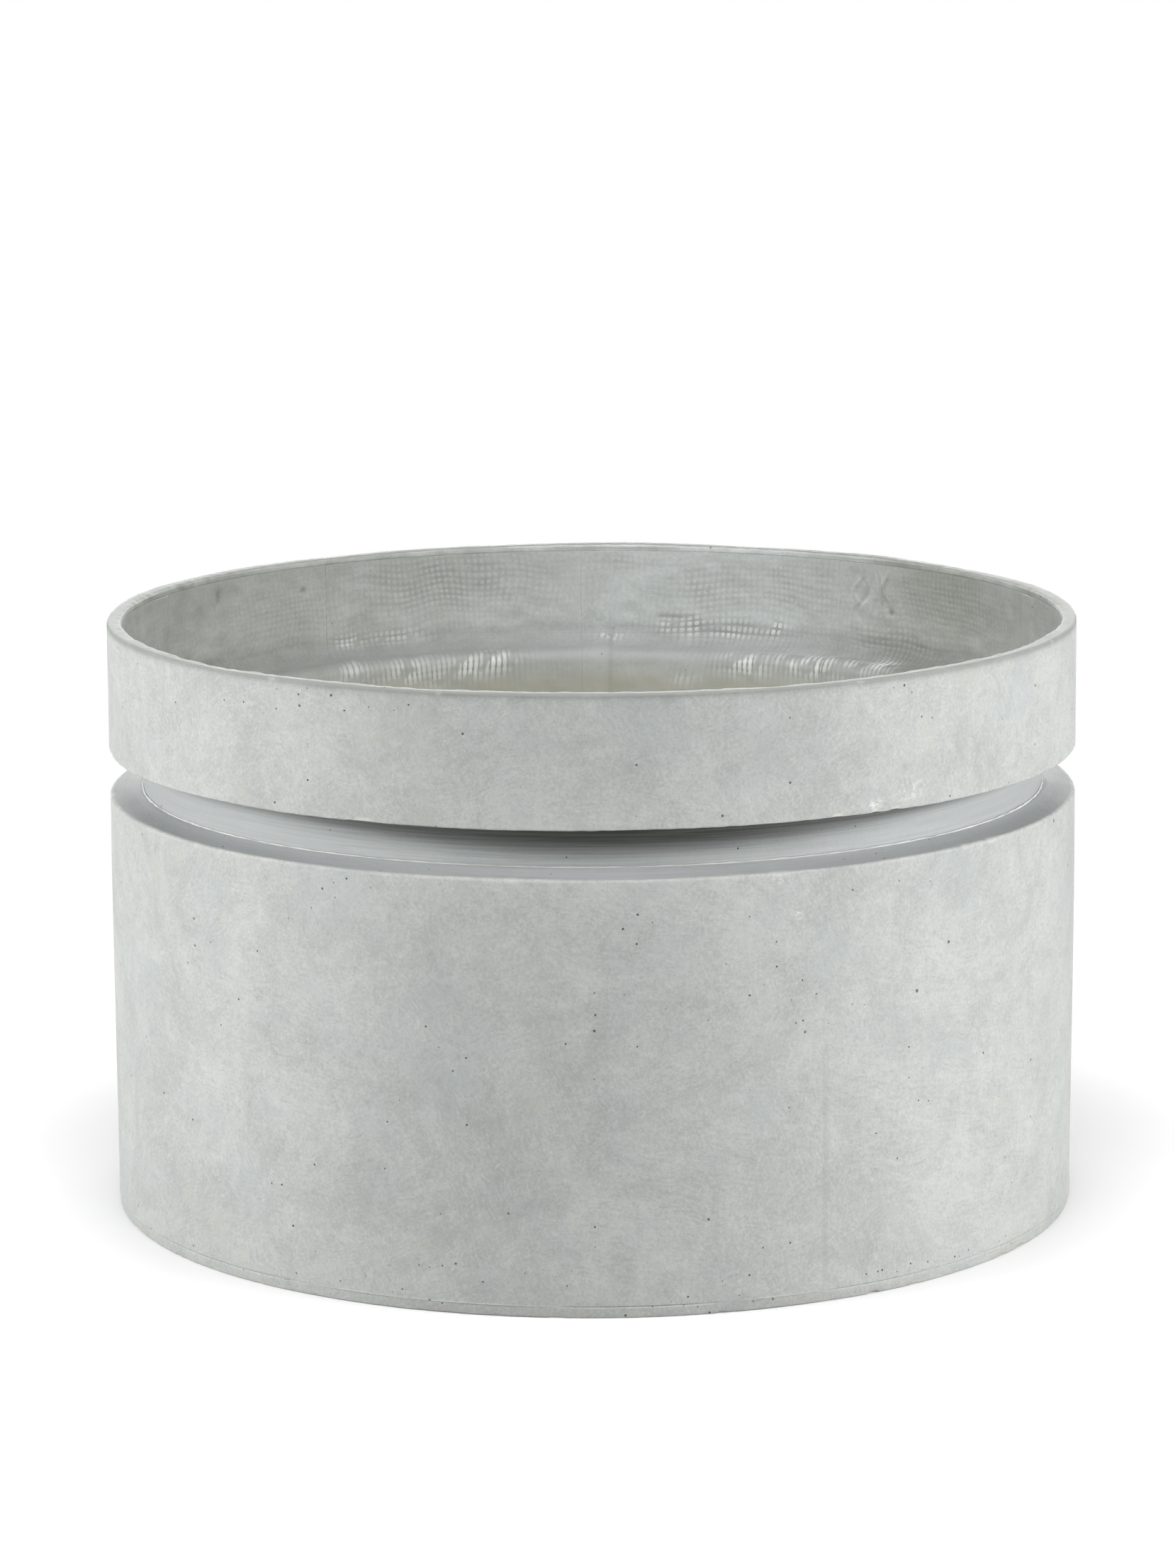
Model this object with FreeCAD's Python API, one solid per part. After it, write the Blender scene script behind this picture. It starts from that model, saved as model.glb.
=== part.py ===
import FreeCAD, Part
import math
import os

# Round floor planter of hand-laid glass-cloth cement. All lengths are in millimetres.
# Z is the turning axis, the floor is at Z = 0 and the front of the pot faces -Y.
# Three cement castings are bedded on each other: a slab, a drum and a collar.
# The collar and the drum are lined with lapped strips of woven glass cloth.

# Outside of the pot
TOTAL_HEIGHT = 488.0
BAND_RADIUS = 400.0
BAND_HEIGHT = 105.0
GROOVE_HEIGHT = 34.0
GROOVE_DEPTH = 28.0
LEDGE_FALL = 4.5
DRUM_INSET = 0.5
SLAB_INSET = 0.5

# Cement walls
BAND_WALL = 10.0
SHELF_THICKNESS = 12.0
NECK_WALL = 12.0
DRUM_WALL = 10.0
LEDGE_THICKNESS = 12.0
RIM_LIP_HEIGHT = 6.0

# Rounded edges and the corner under the band
RIM_EDGE = 2.5
BAND_FOOT_EDGE = 1.0
GROOVE_CORNER = 3.0
LEDGE_EDGE = 2.5

# Inside roundings, as shares of the shelf's and the ledge's width
COVE_SHARE = 0.6
SHOULDER_SHARE = 0.3
DRUM_COVE_SHARE = 0.75

# Spigot that centres the collar in the drum, and the grout line at its foot
SPIGOT_WALL = 5.0
SPIGOT_CLEARANCE = 0.5
GROUT_WIDTH = 2.5

# Bond line behind the cloth and the grout
BOND_LINE = 0.4

# Slab under the drum
SLAB_EDGE_HEIGHT = 9.0
SLAB_STEP_HEIGHT = 9.0
SLAB_FOOT_EDGE = 1.2
SLAB_CLEARANCE = 0.4
FOOT_RING_WIDTH = 70.0
RECESS_DEPTH = 4.0
RECESS_DRAFT = 4.0

# Woven glass cloth
CLOTH = 1.8
STRIP_COUNT = 10
LAP_WIDTH = 24.0
JOGGLE_WIDTH = 4.0
SEAM_GAP = 0.6
FLOOR_CLOTH_GAP = 0.8
LEDGE_CLOTH_MARGIN = 2.0

# Bearing of the first collar seam, anticlockwise from +X
FIRST_SEAM_ANGLE = 16.0

# Drain hole and its bung
DRAIN_RADIUS = 19.0
DRAIN_TAPER = 1.5
DRAIN_CLOTH_MARGIN = 3.0
BUNG_CLEARANCE = 0.3
BUNG_TIP_CLEARANCE = 1.0
BUNG_HEAD_RADIUS = 27.0
BUNG_HEAD_HEIGHT = 5.0
BUNG_HEAD_EDGE = 2.0
BUNG_NECK_RADIUS = 8.0
BUNG_NECK_HEIGHT = 7.0
BUNG_KNOB_RADIUS = 12.0
BUNG_KNOB_HEIGHT = 7.0
BUNG_KNOB_EDGE = 3.0

# Two points closer than this are one point
SAME_POINT = 0.0001

FULL_TURN = 360.0
FOOT = FreeCAD.Vector(0, 0, 0)
UP = FreeCAD.Vector(0, 0, 1)

# Heights of the main levels
band_foot = TOTAL_HEIGHT - BAND_HEIGHT
ledge_top = band_foot - GROOVE_HEIGHT
ledge_underside = ledge_top - LEDGE_THICKNESS
shelf_top = band_foot + SHELF_THICKNESS
lip_underside = TOTAL_HEIGHT - RIM_LIP_HEIGHT
floor_top = SLAB_EDGE_HEIGHT + SLAB_STEP_HEIGHT

# Outside radii, set back from the band
neck_radius = BAND_RADIUS - GROOVE_DEPTH
grout_radius = neck_radius + BOND_LINE + GROUT_WIDTH
drum_radius = BAND_RADIUS - DRUM_INSET
slab_radius = drum_radius - SLAB_INSET

# Inside radii of the bare cement, and of the seats
band_bore = BAND_RADIUS - BAND_WALL
neck_bore = neck_radius - NECK_WALL
drum_bore = drum_radius - DRUM_WALL
spigot_radius = neck_bore + SPIGOT_WALL
ledge_bore = spigot_radius + SPIGOT_CLEARANCE

# Inside roundings
cove_radius = COVE_SHARE * (band_bore - neck_bore)
shoulder_radius = SHOULDER_SHARE * (band_bore - neck_bore)
drum_cove_radius = DRUM_COVE_SHARE * (drum_bore - ledge_bore)

# Depths from the cement to the faces of one layer of cloth, and of a lap over it
cloth_face = BOND_LINE + CLOTH
lap_back = cloth_face + BOND_LINE
lap_face = lap_back + CLOTH
rim_bore = band_bore - cloth_face


def rounded_outline(corners):
    """Closed wire in the XZ plane through corners of radius, height and rounding."""
    points = [FreeCAD.Vector(radius, 0, height) for radius, height, rounding in corners]
    turns = []
    for index, corner in enumerate(corners):
        here = points[index]
        rounding = corner[2]
        if rounding == 0:
            turns.append((here, None, here))
            continue
        back = (points[index - 1] - here).normalize()
        ahead = (points[(index + 1) % len(points)] - here).normalize()
        half_angle = back.getAngle(ahead) / 2
        reach = rounding / math.tan(half_angle)
        inward = (back + ahead).normalize()
        crown = here + inward * (rounding / math.sin(half_angle) - rounding)
        turns.append((here + back * reach, crown, here + ahead * reach))
    edges = []
    for index, (start, crown, end) in enumerate(turns):
        if crown is not None:
            edges.append(Part.Arc(start, crown, end).toShape())
        following = turns[(index + 1) % len(turns)][0]
        if end.distanceToPoint(following) > SAME_POINT:
            edges.append(Part.LineSegment(end, following).toShape())
    return Part.Wire(edges)


def turned(corners, sweep=FULL_TURN, start=0):
    """Solid turned about the pot's axis, from a start bearing through a sweep."""
    solid = Part.Face(rounded_outline(corners)).revolve(FOOT, UP, sweep)
    solid.rotate(FOOT, UP, start)
    return solid


def collar_lining(depth):
    """Inside face of the collar, moved in by depth: wall, cove, shelf, shoulder, neck."""
    return [
        (band_bore - depth, lip_underside, 0),
        (band_bore - depth, shelf_top + depth, cove_radius - depth),
        (neck_bore - depth, shelf_top + depth, shoulder_radius + depth),
        (neck_bore - depth, ledge_underside, 0),
    ]


def drum_lining(depth):
    """Inside face of the drum, moved in by depth: under the ledge, cove, wall."""
    return [
        (ledge_bore + LEDGE_CLOTH_MARGIN, ledge_underside - depth, 0),
        (drum_bore - depth, ledge_underside - depth, drum_cove_radius - depth),
        (drum_bore - depth, floor_top, 0),
    ]


def upper_collar():
    """Band, shelf, neck and spigot in one casting, with a lip over the cloth at the rim."""
    outside = [
        (spigot_radius, ledge_underside, 0),
        (spigot_radius, ledge_top, 0),
        (neck_radius, ledge_top, 0),
        (neck_radius, band_foot, GROOVE_CORNER),
        (BAND_RADIUS, band_foot, BAND_FOOT_EDGE),
        (BAND_RADIUS, TOTAL_HEIGHT, RIM_EDGE),
        (rim_bore, TOTAL_HEIGHT, RIM_EDGE),
        (rim_bore, lip_underside, 0),
    ]
    return turned(outside + collar_lining(0))


def lower_drum():
    """Drum wall with the ledge that carries the collar and falls outwards, to shed water."""
    outside = [
        (drum_bore, SLAB_EDGE_HEIGHT, 0),
        (drum_radius, SLAB_EDGE_HEIGHT, 0),
        (drum_radius, ledge_top - LEDGE_FALL, LEDGE_EDGE),
        (grout_radius, ledge_top, 0),
        (ledge_bore, ledge_top, 0),
        (ledge_bore, ledge_underside, 0),
        (drum_bore, ledge_underside, drum_cove_radius),
    ]
    return turned(outside)


def base_slab():
    """Slab with a step that centres the drum, a foot ring and a tapered drain hole."""
    step_radius = drum_bore - SLAB_CLEARANCE
    recess_radius = slab_radius - FOOT_RING_WIDTH
    section = [
        (DRAIN_RADIUS - DRAIN_TAPER, RECESS_DEPTH, 0),
        (recess_radius - RECESS_DRAFT, RECESS_DEPTH, 0),
        (recess_radius, 0, 0),
        (slab_radius, 0, SLAB_FOOT_EDGE),
        (slab_radius, SLAB_EDGE_HEIGHT, 0),
        (step_radius, SLAB_EDGE_HEIGHT, 0),
        (step_radius, floor_top, 0),
        (DRAIN_RADIUS, floor_top, 0),
    ]
    return turned(section)


def neck_grout():
    """Grout line in the corner between the neck and the ledge."""
    inner = neck_radius + BOND_LINE
    section = [
        (inner, ledge_top, 0),
        (grout_radius, ledge_top, 0),
        (inner, ledge_top + GROUT_WIDTH, 0),
    ]
    return turned(section)


def cloth_strip(lining, lap_radius, start):
    """One strip: a sheet on the cement, a joggle and a lap over the next strip's edge."""
    pitch = FULL_TURN / STRIP_COUNT
    joggle = math.degrees(JOGGLE_WIDTH / lap_radius)
    seam = math.degrees(SEAM_GAP / lap_radius)
    lap = math.degrees(LAP_WIDTH / lap_radius)
    joggle_start = start + pitch - seam - joggle
    sheet_section = lining(BOND_LINE) + lining(cloth_face)[::-1]
    joggle_section = lining(BOND_LINE) + lining(lap_face)[::-1]
    lap_section = lining(lap_back) + lining(lap_face)[::-1]
    sheet = turned(sheet_section, joggle_start - start, start)
    raised = turned(joggle_section, joggle, joggle_start)
    over = turned(lap_section, lap, joggle_start + joggle)
    return sheet.fuse([raised, over]).removeSplitter().Solids[0]


def floor_cloth():
    """Disc of cloth on the slab, trimmed clear of the wall's laps and the drain hole."""
    outer = drum_bore - lap_face - FLOOR_CLOTH_GAP
    inner = DRAIN_RADIUS + DRAIN_CLOTH_MARGIN
    section = [
        (inner, floor_top, 0),
        (outer, floor_top, 0),
        (outer, floor_top + CLOTH, 0),
        (inner, floor_top + CLOTH, 0),
    ]
    return turned(section)


def drain_bung():
    """Tapered rubber bung with a head that seats on the floor cloth and a knob to pull."""
    seat = floor_top + CLOTH
    tip = RECESS_DEPTH + BUNG_TIP_CLEARANCE
    slope = DRAIN_TAPER / (floor_top - RECESS_DEPTH)
    plug_top = DRAIN_RADIUS - BUNG_CLEARANCE
    plug_tip = plug_top - slope * (floor_top - tip)
    head_top = seat + BUNG_HEAD_HEIGHT
    knob_foot = head_top + BUNG_NECK_HEIGHT
    knob_top = knob_foot + BUNG_KNOB_HEIGHT
    section = [
        (0, tip, 0),
        (plug_tip, tip, 0),
        (plug_top, floor_top, 0),
        (plug_top, seat, 0),
        (BUNG_HEAD_RADIUS, seat, 0),
        (BUNG_HEAD_RADIUS, head_top, BUNG_HEAD_EDGE),
        (BUNG_NECK_RADIUS, head_top, 0),
        (BUNG_NECK_RADIUS, knob_foot, 0),
        (BUNG_KNOB_RADIUS, knob_foot, 0),
        (BUNG_KNOB_RADIUS, knob_top, BUNG_KNOB_EDGE),
        (0, knob_top, 0),
    ]
    return turned(section)


def lining_strips(prefix, lining, lap_radius, first_seam):
    """All the strips round one casting, by node name."""
    pitch = FULL_TURN / STRIP_COUNT
    strips = {}
    for index in range(STRIP_COUNT):
        name = f"{prefix}_{index + 1:02d}"
        strips[name] = cloth_strip(lining, lap_radius, first_seam + index * pitch)
    return strips


pieces = {
    "base_slab": base_slab(),
    "lower_drum": lower_drum(),
    "upper_collar": upper_collar(),
    "neck_grout": neck_grout(),
    "floor_cloth": floor_cloth(),
    "drain_bung": drain_bung(),
}
half_pitch = FULL_TURN / STRIP_COUNT / 2
pieces |= lining_strips("collar_cloth", collar_lining, band_bore, FIRST_SEAM_ANGLE)
pieces |= lining_strips("drum_cloth", drum_lining, drum_bore, FIRST_SEAM_ANGLE + half_pitch)

os.makedirs("parts", exist_ok=True)
for name, shape in pieces.items():
    shape.exportStep(f"parts/{name}.step")
    print(name, shape.ShapeType, len(shape.Solids), shape.isValid(), round(shape.Volume))
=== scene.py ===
import math
from typing import NamedTuple

import bpy
import numpy as np
from mathutils import Matrix, Vector


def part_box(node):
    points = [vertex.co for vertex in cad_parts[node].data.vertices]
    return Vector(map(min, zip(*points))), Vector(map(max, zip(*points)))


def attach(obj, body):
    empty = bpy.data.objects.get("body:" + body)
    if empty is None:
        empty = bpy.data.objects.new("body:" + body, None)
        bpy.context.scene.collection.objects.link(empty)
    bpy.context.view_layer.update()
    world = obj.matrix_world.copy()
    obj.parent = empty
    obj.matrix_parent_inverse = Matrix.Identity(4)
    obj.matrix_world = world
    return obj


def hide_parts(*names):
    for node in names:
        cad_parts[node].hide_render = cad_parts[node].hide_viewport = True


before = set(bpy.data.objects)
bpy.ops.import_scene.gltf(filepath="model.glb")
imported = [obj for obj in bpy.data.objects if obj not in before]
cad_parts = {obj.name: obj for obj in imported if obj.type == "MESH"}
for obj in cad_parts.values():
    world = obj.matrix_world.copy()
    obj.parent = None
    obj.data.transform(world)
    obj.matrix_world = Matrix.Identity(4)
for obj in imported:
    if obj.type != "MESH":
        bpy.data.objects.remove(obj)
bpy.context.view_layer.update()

# Lengths are in metres. A bearing is an angle round the pot from the front (-Y), positive towards +X.
# The castings, the grout and the cloth are remade here from the same sections as in the frame,
# with the unevenness, chips, wrinkles and weave of a hand-made pot.

MM = 0.001
FULL_TURN = 2 * math.pi
SEED = 20

# Levels and radii that the frame gives
collar_low, collar_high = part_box("upper_collar")
drum_low, drum_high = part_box("lower_drum")
slab_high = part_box("base_slab")[1]
grout_low, grout_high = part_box("neck_grout")
floor_cloth_low, floor_cloth_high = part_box("floor_cloth")
total_height = collar_high.z
ledge_underside = collar_low.z
ledge_top = drum_high.z
slab_edge = drum_low.z
floor_top = slab_high.z
band_radius = collar_high.x
drum_radius = drum_high.x
slab_radius = slab_high.x
grout_radius = grout_high.x
grout_width = grout_high.z - grout_low.z

# Section sizes, as in the part
BAND_HEIGHT = 105 * MM
GROOVE_DEPTH = 28 * MM
LEDGE_FALL = 4.5 * MM
BAND_WALL = 10 * MM
SHELF_THICKNESS = 12 * MM
NECK_WALL = 12 * MM
DRUM_WALL = 10 * MM
RIM_LIP_HEIGHT = 6 * MM
RIM_EDGE = 2.5 * MM
BAND_FOOT_EDGE = 1 * MM
GROOVE_CORNER = 3 * MM
LEDGE_EDGE = 2.5 * MM
COVE_SHARE = 0.6
SHOULDER_SHARE = 0.3
DRUM_COVE_SHARE = 0.75
SPIGOT_WALL = 5 * MM
SPIGOT_CLEARANCE = 0.5 * MM
SLAB_FOOT_EDGE = 1.2 * MM
SLAB_CLEARANCE = 0.4 * MM
FOOT_RING_WIDTH = 70 * MM
RECESS_DEPTH = 4 * MM
RECESS_DRAFT = 4 * MM
DRAIN_RADIUS = 19 * MM
DRAIN_TAPER = 1.5 * MM
DRAIN_CLOTH_MARGIN = 3 * MM
LEDGE_CLOTH_MARGIN = 2 * MM
BOND_LINE = 0.4 * MM
CLOTH = 1.8 * MM
STRIP_COUNT = 10
LAP_WIDTH = 24 * MM
SEAM_GAP = 0.6 * MM
FIRST_SEAM = math.radians(16 + 90)

band_foot = total_height - BAND_HEIGHT
shelf_top = band_foot + SHELF_THICKNESS
lip_underside = total_height - RIM_LIP_HEIGHT
neck_radius = band_radius - GROOVE_DEPTH
band_bore = band_radius - BAND_WALL
neck_bore = neck_radius - NECK_WALL
drum_bore = drum_radius - DRUM_WALL
spigot_radius = neck_bore + SPIGOT_WALL
ledge_bore = spigot_radius + SPIGOT_CLEARANCE
ledge_edge = ledge_top - LEDGE_FALL
cove_radius = COVE_SHARE * (band_bore - neck_bore)
shoulder_radius = SHOULDER_SHARE * (band_bore - neck_bore)
drum_cove_radius = DRUM_COVE_SHARE * (drum_bore - ledge_bore)
wall_height = lip_underside - shelf_top - cove_radius
cloth_face = BOND_LINE + CLOTH
lap_back = cloth_face + BOND_LINE
lap_face = lap_back + CLOTH
rim_bore = band_bore - cloth_face

# Mesh steps
COLUMNS = 1200
FINE_STEP = 1.2 * MM
WIDE_STEP = 10 * MM
STEP_GROWTH = 1.6
ARC_STEPS = 5
ARC_STRIDE = 3
CRISP = 0.15 * MM
WEAVE_PITCH = 5.6 * MM
STEPS_PER_YARN = 5
DRUM_CLOTH_STEP = 3 * MM
UNROLLED = "Unrolled"

chance = np.random.default_rng(SEED)


def unit(vector):
    return vector / np.linalg.norm(vector)


def wrapped(angle):
    """Angle brought between minus and plus half a turn."""
    return (angle + math.pi) % FULL_TURN - math.pi


def bell(distance, width):
    """Smooth hump: 1 at no distance, near 0 beyond twice the width."""
    return np.exp(-((distance / width) ** 2))


class Unevenness:
    """Random waves, together about 1 high, that close on themselves round the pot."""

    COUNT = 26

    def __init__(self, radius, longest, shortest):
        self.waves = []
        for _ in range(self.COUNT):
            length = math.exp(chance.uniform(math.log(shortest), math.log(longest)))
            heading = chance.uniform(0, FULL_TURN)
            turns = round(FULL_TURN * radius / length * math.cos(heading))
            climb = FULL_TURN / length * math.sin(heading)
            self.waves.append((turns, climb, chance.uniform(0, FULL_TURN)))

    def at(self, bearing, along):
        """Heights with rows along the section and columns round the pot."""
        total = np.zeros((len(along), len(bearing)))
        for turns, climb, phase in self.waves:
            total += np.cos(turns * bearing[None, :] + climb * along[:, None] + phase)
        return total / math.sqrt(self.COUNT / 2)


def varied(share, waves):
    """Share from 0 to 1 that varies with waves, from its mean and its variation."""
    mean, variation = share
    return np.clip(mean + variation * waves, 0, 1)


def ripples(bearing, along, radius, longest, shortest):
    """Unevenness of one piece alone."""
    return Unevenness(radius, longest, shortest).at(bearing, along)


def graded(length, finest, widest):
    """Places from 0 to length, close together near both ends."""
    near = [0.0]
    step = finest
    while near[-1] + step < length / 2:
        near.append(near[-1] + step)
        step = min(step * STEP_GROWTH, widest)
    return np.concatenate([near, length - np.array(near[::-1])])


def traced(corners, finest=FINE_STEP, widest=WIDE_STEP, closed=True):
    """Points along corners of radius, height and rounding, close together near each corner."""
    points = np.array([corner[:2] for corner in corners])
    turns = []
    for index, (_, _, rounding) in enumerate(corners):
        here = points[index]
        if not closed and index in (0, len(points) - 1):
            turns.append([here])
            continue
        bend = max(rounding, CRISP)
        back = unit(points[index - 1] - here)
        ahead = unit(points[(index + 1) % len(points)] - here)
        half_angle = math.acos(np.dot(back, ahead)) / 2
        sweep = math.pi - 2 * half_angle
        centre = here + unit(back + ahead) * bend / math.sin(half_angle)
        start = here + back * bend / math.tan(half_angle) - centre
        end = here + ahead * bend / math.tan(half_angle) - centre
        steps = max(ARC_STEPS, round(bend * sweep / (ARC_STRIDE * finest))) if rounding > 0 else 1
        angles = np.linspace(0, sweep, steps + 1)[:, None]
        arc = centre + (start * np.sin(sweep - angles) + end * np.sin(angles)) / math.sin(sweep)
        turns.append(list(arc))
    outline = []
    for index, turn in enumerate(turns):
        outline.extend(turn)
        if index == len(turns) - 1 and not closed:
            break
        following = turns[(index + 1) % len(turns)][0]
        run = np.linalg.norm(following - turn[-1])
        if run > finest:
            shares = graded(run, finest, widest)[1:-1] / run
            outline.extend(turn[-1] + (following - turn[-1]) * share for share in shares)
    return np.array(outline)


def distance_along(points):
    """Length walked from the first point to each point."""
    return np.concatenate([[0], np.cumsum(np.linalg.norm(np.diff(points, axis=0), axis=1))])


def even_steps(points, step):
    """The same line with points an even step apart, and one more close to each end."""
    along = distance_along(points)
    places = np.linspace(0, along[-1], round(along[-1] / step) + 1)
    places = np.concatenate([places[:1], [CRISP], places[1:-1], [along[-1] - CRISP], places[-1:]])
    return np.stack([np.interp(places, along, points[:, 0]), np.interp(places, along, points[:, 1])], axis=1)


def right_hand(points, closed):
    """Unit vectors to the right of the walking direction, in radius and height."""
    if closed:
        walk = np.roll(points, -1, axis=0) - np.roll(points, 1, axis=0)
    else:
        walk = np.gradient(points, axis=0)
    side = np.stack([walk[:, 1], -walk[:, 0]], axis=1)
    return side / np.linalg.norm(side, axis=1, keepdims=True)


def round_the_pot(columns=COLUMNS):
    """Bearings of the columns of a piece that goes all round."""
    return np.linspace(-math.pi, math.pi, columns, endpoint=False)


def smooth_mesh(name, points, loops, sizes):
    """Smooth-shaded mesh from points, the point at each face's corners and the number of those corners."""
    mesh = bpy.data.meshes.new(name)
    mesh.vertices.add(len(points))
    mesh.vertices.foreach_set("co", points.reshape(-1).astype(np.float32))
    mesh.loops.add(len(loops))
    mesh.loops.foreach_set("vertex_index", loops.astype(np.int32))
    mesh.polygons.add(len(sizes))
    starts = np.concatenate([[0], np.cumsum(sizes)[:-1]])
    mesh.polygons.foreach_set("loop_start", starts.astype(np.int32))
    mesh.update(calc_edges=True)
    mesh.shade_smooth()
    return mesh


def swept_mesh(name, radius, height, bearing, whole_turn, along, values):
    """Closed mesh from a looped section, rows along the section and columns round the pot."""
    rows, columns = radius.shape
    points = np.stack([radius * np.sin(bearing), -radius * np.cos(bearing), height], axis=-1)
    index = np.arange(rows * columns).reshape(rows, columns)
    round_run = np.tile(bearing * band_radius, (rows + 1, 1))
    if whole_turn:
        index = np.concatenate([index, index[:, :1]], axis=1)
        round_run = np.concatenate([round_run, round_run[:, :1] + FULL_TURN * band_radius], axis=1)
    index = np.concatenate([index, index[:1]], axis=0)
    along_run = np.tile(np.append(along, along[-1])[:, None], (1, index.shape[1]))
    unrolled = np.stack([round_run, along_run], axis=-1)

    def corners_of(grid):
        return np.stack([grid[:-1, :-1], grid[:-1, 1:], grid[1:, 1:], grid[1:, :-1]], axis=2)

    loops = corners_of(index).reshape(-1)
    places = corners_of(unrolled).reshape(-1, 2)
    sizes = np.full(len(loops) // 4, 4)
    if not whole_turn:
        first_cap = index[:-1, 0]
        last_cap = index[:-1, -1][::-1]
        loops = np.concatenate([loops, first_cap, last_cap])
        places = np.concatenate([places, unrolled[:-1, 0], unrolled[:-1, -1][::-1]])
        sizes = np.concatenate([sizes, [rows, rows]])
    mesh = smooth_mesh(name, points.reshape(-1, 3), loops, sizes)
    mesh.uv_layers.new(name=UNROLLED).uv.foreach_set("vector", places.reshape(-1).astype(np.float32))
    for key, value in values.items():
        spread = np.broadcast_to(value, (rows, columns)).reshape(-1)
        layer = mesh.attributes.new(key, "FLOAT", "POINT")
        layer.data.foreach_set("value", spread.astype(np.float32))
    made = bpy.data.objects.new(name, mesh)
    bpy.context.scene.collection.objects.link(made)
    return made


def finished(piece, nodes, body, material):
    """Gives a piece its material and ties it to the frame."""
    piece.data.materials.append(material)
    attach(piece, body)
    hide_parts(*nodes)


# Wear on the outside: height and longest and shortest waves of the faces' unevenness, and the worn edges
FACE_SWELL = 0.25 * MM
FACE_SWELL_WAVES = (0.6, 0.14)
FACE_TROWELLING = 0.045 * MM
FACE_TROWELLING_WAVES = (0.08, 0.02)
EDGE_REACH = 3.5 * MM
EDGE_WAVES = (0.2, 0.012)
WORN = (0.55, 0.45)

# Random chips: smallest share of the largest, how rare large ones are, and their least sizes in millimetres
CHIP_SMALLEST = 0.15
CHIP_RARITY = 2.5
CHIP_LEAST_WIDTH = 1.8
CHIP_LEAST_HEIGHT = 1.2
CHIP_LEAST_DEPTH = 0.2
CHIP_HEIGHT_SHARE = 0.3

# Form of every chip, and the depth in millimetres from which it shows fully
CHIP_SQUARENESS = 2.4
CHIP_STEEPNESS = 0.7
CHIP_CONTRAST = 1.6
CHIP_SHOWN_DEPTH = 0.5

# Chips seen in the photograph: bearing in degrees, half width, half height and depth in millimetres
BAND_FOOT_CHIPS = [
    (-26, 10, 3.4, 0.5), (28, 6, 3.4, 0.5), (33, 4, 3.4, 0.5), (-86, 12, 4, 1.6), (-79, 6, 3, 1.0),
]
RIM_CHIPS = [(-38, 3.5, 2, 0.6), (31, 4, 1.6, 0.5)]
LEDGE_CHIPS = [(-84, 10, 4, 1.4), (-76, 5, 3, 1.0), (-9, 5, 2.5, 0.6), (21, 8, 2.5, 0.7), (47, 5, 3, 0.7)]
SLAB_CHIPS = [(33, 6, 2.6, 1.3), (59, 8, 3, 1.3), (-57, 4, 2.5, 0.9), (14, 3, 2, 0.9)]

# Crowded pinholes seen in the photograph: bearing in degrees, height in millimetres,
# half width in degrees and half height in millimetres
PINHOLE_SPOTS = [
    (-37, 472, 7, 10), (-27, 480, 6, 8), (33, 482, 8, 6), (24, 226, 5, 12), (-22, 36, 5, 10),
    (-4, 34, 3, 8), (9, 8, 14, 8), (-32, 12, 18, 8), (42, 14, 16, 8), (162, 484, 3, 4),
    (150, 300, 9, 40), (-120, 110, 8, 30),
]

# Pale scuffs, in the same terms
SCUFF_SPOTS = [(37.5, 397, 1.6, 5), (21, 340, 1.2, 4), (23.3, 316, 0.5, 5), (33, 390, 1, 3)]

# Unevenness that all castings share, so that their faces stay flush
face_swell = Unevenness(band_radius, *FACE_SWELL_WAVES)
face_trowelling = Unevenness(band_radius, *FACE_TROWELLING_WAVES)


class Edge(NamedTuple):
    """Outer edge of a casting: place, chips, unevenness in metres, pale wear and cream chips from 0 to 1."""

    place: tuple
    chips: list
    unevenness: float
    wear: float
    cream: float


def random_chips(count, widest, deepest):
    """Small chips at random bearings round an edge, most of them tiny."""
    chips = []
    for _ in range(count):
        size = chance.uniform(CHIP_SMALLEST, 1) ** CHIP_RARITY
        width = CHIP_LEAST_WIDTH + widest * size
        height = CHIP_LEAST_HEIGHT + CHIP_HEIGHT_SHARE * width
        chips.append((chance.uniform(-180, 180), width, height, CHIP_LEAST_DEPTH + deepest * size))
    return chips


def knocked(shift, chips, edge_at, along, bearing):
    """Takes chips off an edge and returns where they are, from 0 to 1."""
    broken = np.zeros_like(shift)
    for at, half_width, half_height, depth in chips:
        across = wrapped(bearing - math.radians(at)) * band_radius / (half_width * MM)
        down = (along - edge_at) / (half_height * MM)
        bowl = 1 - np.abs(across[None, :]) ** CHIP_SQUARENESS - down[:, None] ** 2
        bite = np.clip(bowl, 0, None) ** CHIP_STEEPNESS
        shift -= depth * MM * bite
        clear = min(1, depth / CHIP_SHOWN_DEPTH)
        broken = np.maximum(broken, np.clip(bite * CHIP_CONTRAST, 0, 1) * clear)
    return broken


def spotted(spots, height, bearing):
    """Soft spots from 0 to 1, rows along the section and columns round the pot."""
    cover = np.zeros((len(height), len(bearing)))
    for at, level, half_width, half_height in spots:
        beside = np.degrees(wrapped(bearing - math.radians(at))) / half_width
        above = (height / MM - level) / half_height
        cover = np.maximum(cover, bell(above, 1)[:, None] * bell(beside, 1)[None, :])
    return cover


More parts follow.
